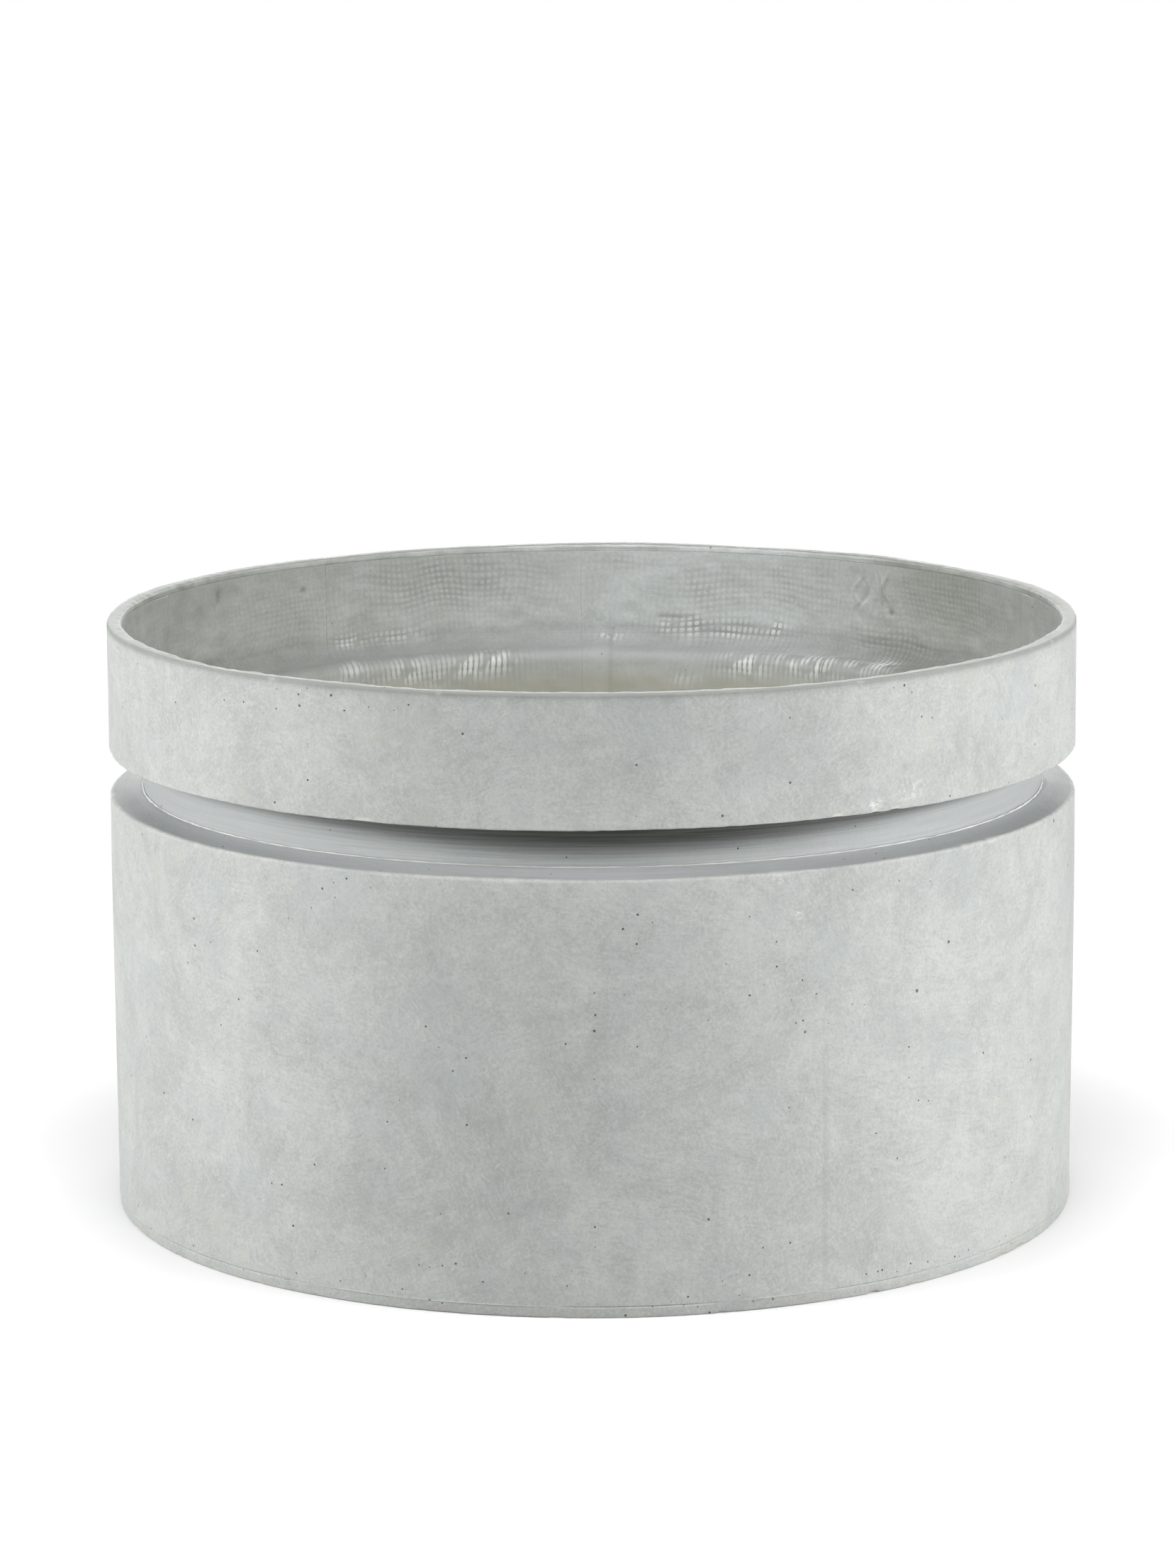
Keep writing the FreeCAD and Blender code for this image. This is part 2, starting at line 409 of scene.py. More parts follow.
def casting(name, corners, shown, edges, marks):
    """Cement casting turned from its section, uneven where it shows, with chipped edges."""
    section = traced(corners)
    along = distance_along(section)
    outward = right_hand(section, closed=True)
    bearing = round_the_pot()
    open_face = shown(section[:, 0], section[:, 1]).astype(float)[:, None]
    swell = face_swell.at(bearing, section[:, 1])
    trowelling = face_trowelling.at(bearing, section[:, 1])
    shift = open_face * (FACE_SWELL * swell + FACE_TROWELLING * trowelling)
    worn = np.zeros_like(shift)
    chipped = np.zeros_like(shift)
    for edge in edges:
        edge_at = along[np.argmin(np.linalg.norm(section - np.array(edge.place), axis=1))]
        near = bell(along - edge_at, EDGE_REACH)[:, None]
        roughness = ripples(bearing, along, band_radius, *EDGE_WAVES)
        shift += near * edge.unevenness * (roughness - 1)
        worn = np.maximum(worn, near * edge.wear * varied(WORN, roughness))
        chipped = np.maximum(chipped, edge.cream * knocked(shift, edge.chips, edge_at, along, bearing))
    values = {"worn": worn, "chipped": chipped}
    values["pitted"] = spotted(PINHOLE_SPOTS, section[:, 1], bearing)
    values["scuffed"] = spotted(SCUFF_SPOTS, section[:, 1], bearing)
    values |= marks(section[:, :1], section[:, 1:], bearing[None, :])
    shift -= MOULD_SEAM_DEPTH * values.get("seam", 0)
    radius = section[:, :1] + shift * outward[:, :1]
    bedded = np.abs(section[:, 1:] - slab_edge) < MM / 2
    height = np.maximum(section[:, 1:] + np.where(bedded, 0, shift * outward[:, 1:]), 0)
    return swept_mesh(name, radius, height, bearing, True, along, values)


def collar_lining():
    """Bare inside face of the collar: wall, cove, shelf, shoulder, neck."""
    return [
        (band_bore, lip_underside, 0),
        (band_bore, shelf_top, cove_radius),
        (neck_bore, shelf_top, shoulder_radius),
        (neck_bore, ledge_underside, 0),
    ]


def drum_lining():
    """Bare inside face of the drum: under the ledge, cove, wall."""
    return [
        (ledge_bore + LEDGE_CLOTH_MARGIN, ledge_underside, 0),
        (drum_bore, ledge_underside, drum_cove_radius),
        (drum_bore, floor_top, 0),
    ]


# Painted shade on the top of the rim, a painted shadow line along its outer arris, a painted shadow of the
# band at the top of the neck that is deepest at the front, and painted shade on the groove's sides away from
# the front
RIM_REACH = 4 * MM
ARRIS_WIDTH = 1.6 * MM
BAND_SHADOW_FRONT = 13 * MM
BAND_SHADOW_SIDE = 4 * MM
BAND_SHADOW_MIDDLE = math.radians(3)
BAND_SHADOW_SPREAD = math.radians(34)
BAND_SHADOW_SIDE_SHARE = 0.75
NECK_FRONT = math.radians(55)
NECK_SIDE_SHADE_SHARE = 0.9


def collar_marks(radius, height, bearing):
    """Marks on the collar from 0 to 1: smoother groove, painted shade on the rim top and on the groove's
    sides, painted shadow along the arris and at the top of the neck, slurry on the lip.
    """
    groove = (radius < band_radius - EDGE_REACH) * (height < band_foot + MM)
    # Painted shade on the rim's top face
    rim = bell(np.minimum(height - total_height, 0), RIM_REACH) * (radius > neck_radius)
    # Painted shadow line along the rim's outer arris
    arris = bell(np.hypot(radius - band_radius, height - total_height + RIM_EDGE / 2), ARRIS_WIDTH)
    # Painted shadow of the band on the top of the neck, deepest at the front
    front = bell(bearing - BAND_SHADOW_MIDDLE, BAND_SHADOW_SPREAD)
    reach = BAND_SHADOW_SIDE + (BAND_SHADOW_FRONT - BAND_SHADOW_SIDE) * front
    painted_band_shadow = BAND_SHADOW_SIDE_SHARE + (1 - BAND_SHADOW_SIDE_SHARE) * front
    painted_band_shadow = painted_band_shadow * bell(np.maximum(band_foot - reach - height, 0), reach)
    painted_band_shadow = painted_band_shadow * (radius < band_radius - 2 * EDGE_REACH) * (height < band_foot + MM)
    # Painted shade on the groove's sides, away from the front
    painted_side_shade = NECK_SIDE_SHADE_SHARE * groove * (1 - bell(bearing, NECK_FRONT))
    lip = (radius < rim_bore + MM) * (height > lip_underside - MM)
    pale = smears_and_painted_light(bearing[0], np.zeros(1))
    marks = {"groove": groove, "painted_side_shade": painted_side_shade, "rim": rim, "arris": arris, "painted_band_shadow": painted_band_shadow}
    return marks | {"lip": lip, "pale": pale}


def upper_collar(material):
    """Band, rim and neck, with a smoother groove face and painted shade on the rim top."""
    outside = [
        (spigot_radius, ledge_underside, 0),
        (spigot_radius, ledge_top, 0),
        (neck_radius, ledge_top, 0),
        (neck_radius, band_foot, GROOVE_CORNER),
        (band_radius, band_foot, BAND_FOOT_EDGE),
        (band_radius, total_height, RIM_EDGE),
        (rim_bore, total_height, RIM_EDGE),
        (rim_bore, lip_underside, 0),
    ]

    def shown(radius, height):
        lining = (radius < band_bore + MM) & (height < total_height - RIM_EDGE)
        neck = (height < band_foot + MM) & (radius > neck_radius - MM) & (height > ledge_top + MM)
        return ~lining | neck

    foot_chips = BAND_FOOT_CHIPS + random_chips(count=16, widest=5, deepest=0.7)
    rim_chips = RIM_CHIPS + random_chips(count=8, widest=3, deepest=0.4)
    bore_chips = random_chips(count=6, widest=4, deepest=0.4)
    edges = [
        Edge((band_radius, band_foot), foot_chips, unevenness=0.08 * MM, wear=0.25, cream=0.9),
        Edge((band_radius, total_height), rim_chips, unevenness=0.12 * MM, wear=0.1, cream=0.2),
        Edge((rim_bore, total_height), bore_chips, unevenness=0.3 * MM, wear=0.1, cream=0.2),
    ]
    made = casting("CollarCasting", outside + collar_lining(), shown, edges, collar_marks)
    finished(made, ["upper_collar"], "pot", material)


# Upright seam of the mould on the drum, the front that the painted shade on the ledge's sides leaves out,
# and dirt at the floor
MOULD_SEAM_BEARING = math.radians(26.5)
MOULD_SEAM_WIDTH = 1.6 * MM
MOULD_SEAM_TOP = 165 * MM
MOULD_SEAM_FADE = 55 * MM
MOULD_SEAM_DEPTH = 0.2 * MM
SIDE_SHADE_FRONT = math.radians(38)
DIRT_HEIGHT = 10 * MM


def drum_marks(radius, height, bearing):
    """Marks on the drum from 0 to 1: paler ledge and corner as painted light, painted shade on its sides,
    the mould's seam and dirt.
    """
    ledge = (height > ledge_edge - MM) * (radius < drum_radius - LEDGE_EDGE)
    # Painted light in the ledge's inner corner, by the neck
    painted_corner_light = np.clip((drum_radius - radius) / (drum_radius - neck_radius), 0, 1) * ledge
    # Painted shade on the ledge's sides, away from the front
    painted_side_shade = ledge * (1 - bell(bearing, SIDE_SHADE_FRONT)) * (1 - painted_corner_light)
    seam = bell(wrapped(bearing - MOULD_SEAM_BEARING) * drum_radius, MOULD_SEAM_WIDTH)
    seam = seam * bell(np.maximum(height - MOULD_SEAM_TOP, 0), MOULD_SEAM_FADE)
    marks = {"ledge": ledge, "painted_corner_light": painted_corner_light, "painted_side_shade": painted_side_shade, "seam": seam}
    return marks | slab_marks(radius, height, bearing)


def slab_marks(radius, height, bearing):
    """Dirt on the slab from 0 to 1, strongest at the floor."""
    return {"dirt": bell(height, DIRT_HEIGHT)}


def lower_drum(material):
    """Drum wall and ledge, with the upright line of the mould seam."""
    outside = [
        (drum_bore, slab_edge, 0),
        (drum_radius, slab_edge, 0),
        (drum_radius, ledge_edge, LEDGE_EDGE),
        (grout_radius, ledge_top, 0),
        (ledge_bore, ledge_top, 0),
        (ledge_bore, ledge_underside, 0),
        (drum_bore, ledge_underside, drum_cove_radius),
    ]

    def shown(radius, height):
        return (radius > drum_radius - MM) | ((height > ledge_edge - MM) & (radius > grout_radius + MM))

    ledge_chips = LEDGE_CHIPS + random_chips(count=16, widest=6, deepest=0.6)
    foot_chips = random_chips(count=10, widest=7, deepest=0.3)
    edges = [
        Edge((drum_radius, ledge_edge), ledge_chips, unevenness=0.1 * MM, wear=0.25, cream=0.35),
        Edge((drum_radius, slab_edge), foot_chips, unevenness=0, wear=0, cream=0.2),
    ]
    made = casting("DrumCasting", outside, shown, edges, drum_marks)
    finished(made, ["lower_drum"], "pot", material)


def base_slab(material):
    """Slab on its foot ring, smeared out to the drum at the top, with a chipped foot and the drain hole."""
    step_radius = drum_bore - SLAB_CLEARANCE
    recess_radius = slab_radius - FOOT_RING_WIDTH
    outside = [
        (DRAIN_RADIUS - DRAIN_TAPER, RECESS_DEPTH, 0),
        (recess_radius - RECESS_DRAFT, RECESS_DEPTH, 0),
        (recess_radius, 0, 0),
        (slab_radius, 0, SLAB_FOOT_EDGE),
        (drum_radius, slab_edge, 0),
        (step_radius, slab_edge, 0),
        (step_radius, floor_top, 0),
        (DRAIN_RADIUS, floor_top, 0),
    ]

    def shown(radius, height):
        return (radius > slab_radius - MM) & (height < slab_edge + MM / 2)

    foot_chips = SLAB_CHIPS + random_chips(count=26, widest=6, deepest=0.7)
    top_chips = random_chips(count=10, widest=7, deepest=0.3)
    edges = [
        Edge((slab_radius, 0), foot_chips, unevenness=0.12 * MM, wear=0.2, cream=0.5),
        Edge((drum_radius, slab_edge), top_chips, unevenness=0, wear=0, cream=0.2),
    ]
    made = casting("BaseSlab", outside, shown, edges, slab_marks)
    finished(made, ["base_slab"], "pot", material)


# Grout line: share of the corner that it fills, how much that varies, and over which waves
GROUT_FILL = 0.45
GROUT_UNEVENNESS = 0.1
GROUT_WAVES = (0.12, 0.008)
GROUT_LIMIT = 2


def neck_grout(material):
    """Uneven bead of grout in the corner of the groove."""
    inner = grout_radius - grout_width
    corners = [
        (inner, ledge_top, 0),
        (grout_radius, ledge_top, 0),
        (inner, ledge_top + grout_width, 0),
    ]
    section = traced(corners)
    along = distance_along(section)
    bearing = round_the_pot()
    lumps = ripples(bearing, along, neck_radius, *GROUT_WAVES)
    share = GROUT_FILL + GROUT_UNEVENNESS * np.clip(lumps, -GROUT_LIMIT, GROUT_LIMIT)
    radius = inner + (section[:, :1] - inner) * share
    height = ledge_top + (section[:, 1:] - ledge_top) * share
    made = swept_mesh("NeckGrout", radius, height, bearing, True, along, {"grout": 1.0})
    finished(made, ["neck_grout"], "pot", material)


# Weave of the glass cloth: height, wander, skew, and how far it turns into upright bars below the wall
WEAVE_HEIGHT = 0.5 * MM
WEAVE_WANDER = 0.4
WARP_WAVES = (0.3, 0.06)
WEFT_WAVES = (0.25, 0.06)
WEAVE_SKEW = 0.1
BAR_SHARE = 0.6
WEAVE_UNDER_SLURRY = 0.06
BARE_VARIATION = 0.14
BARE_LIMITS = (0.05, 0.3)
PATCHY_MEAN = 0.85
PATCHY_VARIATION = 0.2
GLASS_UNBROKEN = (0.9, 0.8)

# Laps of the cloth, and the slurry smeared over it
LAP_SLOPE = 8 * MM
LAP_FEATHER = 15 * MM
LAP_END = 0.1 * MM
SUNK_SHARE = 0.75
SLURRY_LUMPS = 0.2 * MM
LUMPS_OFF_WEAVE = 0.6
SLURRY_FILLET = 12 * MM
RIM_FADE = 12 * MM


class Folds(NamedTuple):
    """Wrinkles by a lap: height in metres, number and the lowest place that they reach."""

    height: float
    count: int
    lowest: float


# Wrinkles by most laps and by one lap, and the ranges of their random places, sways and lengths
LAP_FOLDS = Folds(height=0.4 * MM, count=4, lowest=0.13)
DEEP_FOLDS = Folds(height=1.6 * MM, count=16, lowest=0.05)
DEEP_FOLDS_AT = 36
DEEP_FOLDS_WITHIN = 4
FOLD_WIDTH = 2 * MM
FOLD_OFFSETS_MM = (-30, 20)
FOLD_SWAYS_MM = (2, 7)
FOLD_SWAY_LENGTHS_MM = (5, 16)
FOLD_SWAY_STARTS = (0, 6)
FOLD_HIGHEST = 0.012
FOLD_LENGTHS = (0.008, 0.025)
FOLD_STRENGTHS = (-0.6, 1)

# Patches on the far side, in the photograph: degrees right of the far side, distance down from the rim
# in millimetres, half width in degrees, half height in millimetres and strength.
# First where the weave shows through the slurry.
BARE_PATCHES = [
    (-20, 24, 13, 32, 0.85), (-42, 40, 12, 30, 0.45), (4, 10, 6, 10, 0.4), (16, 34, 6, 24, 0.7),
    (28, 30, 9, 26, 0.6), (54, 26, 12, 30, 0.55), (44, 72, 8, 20, 0.8), (-14.5, 116, 7, 12, 1.0),
    (-27, 118, 9, 10, 0.9), (18, 70, 9, 12, 0.9), (22.5, 115, 7, 10, 1.0), (32.5, 112, 8, 10, 1.0),
    (-72, 40, 8, 30, 0.25),
]

# Patches where white glass yarn lies open; their white is partly the yarn's own colour and partly a painted
# highlight where the glints fall
GLASS_PATCHES = [
    (-23, 119, 9, 10, 0.4), (34, 108, 10, 12, 0.4), (17, 68, 9, 9, 0.35), (-34, 71, 2.4, 6, 0.5),
    (-27, 70, 3.8, 6, 0.4), (-36, 113, 3, 7, 0.4), (-27, 118, 3.2, 9, 0.8), (-23, 122, 2, 9, 0.6),
    (-18, 117, 2.4, 8, 1.0), (-14, 114, 2.6, 9, 0.8), (2.5, 79, 1.4, 4, 0.5), (10, 68, 1.6, 6, 0.6),
    (14, 66, 2.2, 11, 0.6), (19, 71, 2.4, 7, 0.5), (25, 66, 1.6, 7, 1.0), (13.5, 129, 1.8, 5, 0.4),
    (22.5, 115, 3.2, 8, 1.0), (32, 113, 3.4, 7, 1.0), (44, 99, 2.2, 9, 0.8),
]

# Dents in the same terms, darkened by painted shade
DENTS = [(-56.5, 14, 0.5, 7, 0.8), (43, 42, 0.4, 3, 1.0), (11.5, 60, 3, 1.8, 0.4), (-41, 21, 0.5, 3, 0.8)]
DENT_DEPTH = 1.3 * MM

# Pale smears round the middle of the far side, partly the slurry's own pale tint and partly painted light,
# and a stretch of painted shade to their right, in degrees
PALE_BASE = 0.14
PALE_MIDDLE = 18
PALE_WIDTH = 38
PALE_WANDER = 0.06
SHADE_RIGHT_MIDDLE = 48
SHADE_RIGHT_WIDTH = 14
SHADE_RIGHT_SHARE = 0.5

# Slurry brushed over all the collar's strips together, with its longest and shortest waves
slurry_lumps = Unevenness(band_bore, 0.09, 0.012)
slurry_gaps = Unevenness(band_bore, 0.25, 0.05)
slurry_patches = Unevenness(band_bore, 0.05, 0.01)
slurry_tone = Unevenness(band_bore, 0.2, 0.03)
glass_breaks = Unevenness(band_bore, 0.05, 0.01)


def far_side(bearing):
    """Degrees to the right of the far side, as seen from the front."""
    return np.degrees(wrapped(math.pi - bearing))


def patches(places, bearing, along):
    """Soft patches from 0 to 1, rows along the cloth and columns round the pot."""
    right = far_side(bearing)
    down = along / MM
    cover = np.zeros((len(along), len(bearing)))
    for at, depth, half_width, half_height, strength in places:
        patch = bell((down - depth) / half_height, 1)[:, None] * bell((right - at) / half_width, 1)[None, :]
        cover = np.maximum(cover, strength * patch)
    return cover


def smears_and_painted_light(bearing, along):
    """Share of pale slurry, most of it round the middle of the far side: partly its own tint, partly painted
    light, less in a stretch of painted shade to the right.
    """
    right = far_side(bearing)
    pale = PALE_BASE + (1 - PALE_BASE) * bell(right - PALE_MIDDLE, PALE_WIDTH)
    # Painted shade on a stretch to the right of the pale middle
    pale = pale - SHADE_RIGHT_SHARE * bell(right - SHADE_RIGHT_MIDDLE, SHADE_RIGHT_WIDTH)
    return np.clip(pale[None, :] + PALE_WANDER * slurry_tone.at(bearing, along), 0, 1)


def weave_bumps(bearing, along, radius):
    """Open weave from 0 in the gaps to 1 on the yarns: bumps on the wall, upright bars below it."""
    skew = chance.uniform(-WEAVE_SKEW, WEAVE_SKEW)
    warp = (radius * bearing[None, :] + skew * along[:, None]) / WEAVE_PITCH
    warp = warp + WEAVE_WANDER * ripples(bearing, along, radius, *WARP_WAVES)
    weft = along[:, None] / WEAVE_PITCH + WEAVE_WANDER * ripples(bearing, along, radius, *WEFT_WAVES)
    upright = np.abs(np.sin(math.pi * warp))
    across = np.abs(np.sin(math.pi * weft))
    barred = BAR_SHARE * eased((along - wall_height) / cove_radius)[:, None]
    return upright * (across + barred * (1 - across))


def bare_weave(bearing, along):
    """Where the slurry leaves the weave bare, from 0 to 1."""
    bare = np.clip(BARE_VARIATION * slurry_gaps.at(bearing, along), *BARE_LIMITS)
    bare = np.maximum(bare, patches(BARE_PATCHES, bearing, along))
    patchy = PATCHY_MEAN + PATCHY_VARIATION * slurry_patches.at(bearing, along)
    return np.clip(bare * patchy, 0, 1)


def wrinkles(bearing, along, lap_at):
    """Folds beside a lap, in metres proud of the cloth, crumpled and deeper by one lap."""
    beside = wrapped(bearing - lap_at)[None, :] * band_bore
    deep = abs(float(far_side(np.array([lap_at]))[0]) - DEEP_FOLDS_AT) < DEEP_FOLDS_WITHIN
    folds = DEEP_FOLDS if deep else LAP_FOLDS
    proud = np.zeros((len(along), len(bearing)))
    for _ in range(folds.count):
        offset = chance.uniform(*FOLD_OFFSETS_MM) * MM
        sway = chance.uniform(*FOLD_SWAYS_MM) * MM
        sway_length = chance.uniform(*FOLD_SWAY_LENGTHS_MM) * MM
        line = offset + sway * np.sin(along / sway_length + chance.uniform(*FOLD_SWAY_STARTS))
        fade = bell(along - chance.uniform(FOLD_HIGHEST, folds.lowest), chance.uniform(*FOLD_LENGTHS))
        proud += (fade * chance.uniform(*FOLD_STRENGTHS))[:, None] * bell(beside - line[:, None], FOLD_WIDTH)
    return folds.height * proud


def eased(share):
    """Share from 0 to 1 that starts and ends gently."""
    held = np.clip(share, 0, 1)
    return held * held * (3 - 2 * held)


def cloth_strip(name, lining, lap_radius, start, step, relief):
    """One strip of cloth: flat against the cement, stepped up over the next strip's edge, feathered out."""
    pitch = FULL_TURN / STRIP_COUNT
    lap_from = start + pitch - SEAM_GAP / lap_radius
    lap_to = lap_from + LAP_WIDTH / lap_radius
    bearing = np.linspace(start, lap_to, round((lap_to - start) * lap_radius / step) + 1)
    front = even_steps(traced(lining, closed=False, widest=FINE_STEP), step)
    back = traced(lining, finest=FINE_STEP / 2, closed=False)[::-1]
    front_along = distance_along(front)
    from_start = (bearing - start) * lap_radius
    to_lap = (lap_from - bearing) * lap_radius
    to_end = (lap_to - bearing) * lap_radius
    raised = eased(1 - to_lap / LAP_SLOPE)
    feather = eased(1 - to_end / LAP_FEATHER)
    face = cloth_face + (lap_face - cloth_face) * raised - feather * (CLOTH - LAP_END)
    rear = np.where(to_lap > 0, BOND_LINE, lap_back)
    covered = from_start < LAP_WIDTH - SEAM_GAP
    past_cover = np.maximum(from_start - LAP_WIDTH, 0)
    fillet = np.where(covered, 0, (lap_back + LAP_END - cloth_face) * eased(1 - past_cover / SLURRY_FILLET))
    depth, values = relief(bearing, front_along, lap_from)
    depth = depth * eased(past_cover / SLURRY_FILLET + covered) * (1 - feather)
    proud = np.where(covered, 0, np.maximum(depth, 0))
    sunk = np.maximum(np.minimum(depth, 0), -SUNK_SHARE * (face - rear))
    front_depth = face + fillet + proud + sunk
    front_side = right_hand(front, closed=False)
    back_side = -right_hand(back, closed=False)
    front_radius = front[:, :1] + front_side[:, :1] * front_depth
    front_height = front[:, 1:] + front_side[:, 1:] * front_depth
    radius = np.concatenate([front_radius, back[:, :1] + back_side[:, :1] * rear])
    height = np.concatenate([front_height, back[:, 1:] + back_side[:, 1:] * rear])
    unseen = np.zeros((len(back), len(bearing)))
    values = {key: np.concatenate([value, unseen]) for key, value in values.items()}
    along = np.concatenate([front_along, front_along[-1] - distance_along(back)])
    return swept_mesh(name, radius, height, bearing, False, along, values | {"down": along[:, None]})


def collar_relief(bearing, along, lap_at):
    """Weave, slurry, wrinkles and dents on the collar's cloth."""
    weave = weave_bumps(bearing, along, band_bore)
    bare = bare_weave(bearing, along)
    unbroken = varied(GLASS_UNBROKEN, glass_breaks.at(bearing, along))
    glass = patches(GLASS_PATCHES, bearing, along) * unbroken
    lumps = SLURRY_LUMPS * slurry_lumps.at(bearing, along)
    depth = lumps * (1 - LUMPS_OFF_WEAVE * bare) + wrinkles(bearing, along, lap_at)
    depth -= WEAVE_HEIGHT * (WEAVE_UNDER_SLURRY + (1 - WEAVE_UNDER_SLURRY) * bare) * (1 - weave)
    dents = patches(DENTS, bearing, along)
    depth -= DENT_DEPTH * dents
    depth *= eased(along / RIM_FADE)[:, None]
    pale = smears_and_painted_light(bearing, along)
    return depth, {"weave": weave, "bare": bare, "glass": glass, "dent": dents, "pale": pale}


# Cloth in the drum and on the floor: smeared all over, so that the weave has one even tone
SMEARED_WEAVE = 0.5
DRUM_BARE = (0.3, 0.4)
DRUM_BARE_WAVES = (0.25, 0.04)
DRUM_LUMPS = 0.4 * MM
DRUM_LUMP_WAVES = (0.12, 0.02)
DRUM_SUNK = 0.2 * MM


def drum_relief(bearing, along, lap_at):
    """Slurry over the weave on the drum's cloth."""
    bare = varied(DRUM_BARE, ripples(bearing, along, drum_bore, *DRUM_BARE_WAVES))
    lumps = DRUM_LUMPS * ripples(bearing, along, drum_bore, *DRUM_LUMP_WAVES)
    return lumps - DRUM_SUNK, {"weave": np.full_like(bare, SMEARED_WEAVE), "bare": bare}


def cloth_lining(material):
    """All the strips of cloth in the collar and in the drum, whose laps lie half a strip apart."""
    kinds = [
        ("Collar", collar_lining(), band_bore, 0, WEAVE_PITCH / STEPS_PER_YARN, collar_relief),
        ("Drum", drum_lining(), drum_bore, 0.5, DRUM_CLOTH_STEP, drum_relief),
    ]
    for index in range(STRIP_COUNT):
        number = f"{index + 1:02d}"
        for kind, lining, lap_radius, offset, step, relief in kinds:
            start = FIRST_SEAM + (index + offset) * FULL_TURN / STRIP_COUNT
            strip = cloth_strip(f"{kind}Cloth{number}", lining, lap_radius, start, step, relief)
            finished(strip, [f"{kind.lower()}_cloth_{number}"], "pot", material)


# Floor cloth: mesh steps, lumps that only sink, bare weave, the radius at which the waves are measured,
# and the distance down from the rim at which it gets the colour of the neck
FLOOR_COLUMNS = 480
FLOOR_STEP = 4 * MM
FLOOR_LUMPS = 0.3 * MM
FLOOR_LUMP_WAVES = (0.2, 0.03)
FLOOR_SUNK_MOST = 3
FLOOR_BARE = (0.4, 0.4)
FLOOR_BARE_WAVES = (0.3, 0.05)
FLOOR_WAVE_RADIUS = 0.2
FLOOR_DOWN = 0.2


def floor_cloth(material):
    """Disc of cloth on the slab, with slurry brushed over it."""
    inner = DRAIN_RADIUS + DRAIN_CLOTH_MARGIN
    outer = floor_cloth_high.x
    low = floor_cloth_low.z
    high = floor_cloth_high.z
    corners = [(inner, low, 0), (outer, low, 0), (outer, high, 0), (inner, high, 0)]
    section = traced(corners, finest=FINE_STEP / 2, widest=FLOOR_STEP)
    along = distance_along(section)
    bearing = round_the_pot(FLOOR_COLUMNS)
    lumps = ripples(bearing, section[:, 0], FLOOR_WAVE_RADIUS, *FLOOR_LUMP_WAVES) - 1
    lumps = FLOOR_LUMPS * np.clip(lumps, -FLOOR_SUNK_MOST, 0)
    top = (section[:, 1:] > high - MM / 10) & (section[:, :1] > inner + 2 * FLOOR_STEP + MM)
    height = section[:, 1:] + np.where(top, lumps, 0)
    radius = np.repeat(section[:, :1], FLOOR_COLUMNS, axis=1)
    bare = varied(FLOOR_BARE, ripples(bearing, section[:, 0], FLOOR_WAVE_RADIUS, *FLOOR_BARE_WAVES))
    values = {"weave": SMEARED_WEAVE, "bare": bare, "down": FLOOR_DOWN}
    made = swept_mesh("FloorCloth", radius, height, bearing, True, along, values)
    finished(made, ["floor_cloth"], "pot", material)


def tone(red, green, blue):
    """Linear colour from the eight-bit values that a screen shows."""
    shares = [value / 255 for value in (red, green, blue)]
    return tuple(s / 12.92 if s <= 0.04045 else ((s + 0.055) / 1.055) ** 2.4 for s in shares) + (1.0,)


class Nodes:
    """Node tree of a material or a world, with short ways to add nodes to it."""

    def __init__(self, owner):
        self.owner = owner
        owner.use_nodes = True
        self.tree = owner.node_tree

    def fill(self, socket, value):
        if isinstance(value, bpy.types.NodeSocket):
            self.tree.links.new(value, socket)
        else:
            socket.default_value = value

    def add(self, kind, sockets=None, **settings):
        node = self.tree.nodes.new(kind)
        for key, value in settings.items():
            setattr(node, key, value)
        for key, value in (sockets or {}).items():
            self.fill(node.inputs[key], value)
        return node

    def math(self, operation, first, second):
        return self.add("ShaderNodeMath", {0: first, 1: second}, operation=operation).outputs[0]

    def times(self, first, second):
        return self.math("MULTIPLY", first, second)

    def rise(self, value, low, high, to_low=0.0, to_high=1.0):
        """Smooth change from one value to another as the input goes from low to high."""
        sockets = {"Value": value, "From Min": low, "From Max": high, "To Min": to_low, "To Max": to_high}
        return self.add("ShaderNodeMapRange", sockets, interpolation_type="SMOOTHSTEP").outputs[0]


